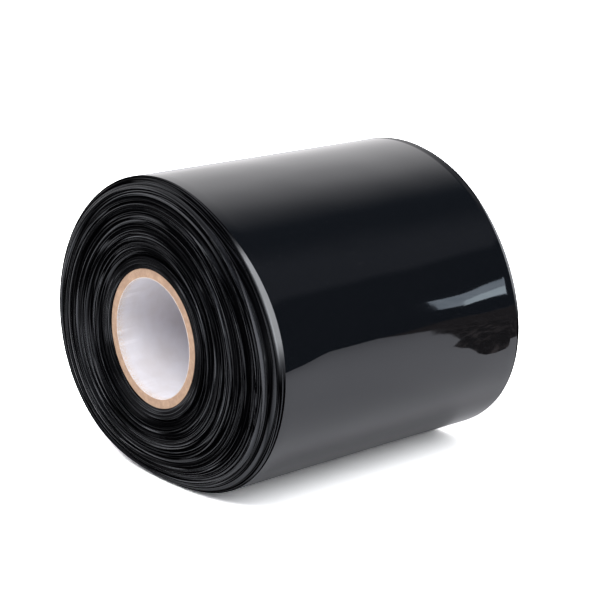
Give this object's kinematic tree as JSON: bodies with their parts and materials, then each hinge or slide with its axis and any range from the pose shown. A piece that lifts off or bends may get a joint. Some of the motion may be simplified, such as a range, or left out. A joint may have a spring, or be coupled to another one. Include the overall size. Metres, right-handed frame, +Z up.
{
  "type": "shrink wrap roll",
  "caption": "Wide roll of glossy black shrink film wound on a white-lined cardboard core, settled slightly flat where it lies on its side.",
  "frame": {"origin": "on the floor, in the middle of the flat that the roll rests on, under the core's axis and half way between the rims", "axes": "+X along the core, away from the end that stands out; +Z up"},
  "size_m": [0.2098, 0.2321, 0.1943],
  "materials": {
    "film": "gloss",
    "core_board": "matte",
    "core_paper": "matte"
  },
  "bodies": {
    "root": {"film_roll": "film", "core_tube": "core_board", "core_liner": "core_paper"}
  },
  "joints": []
}
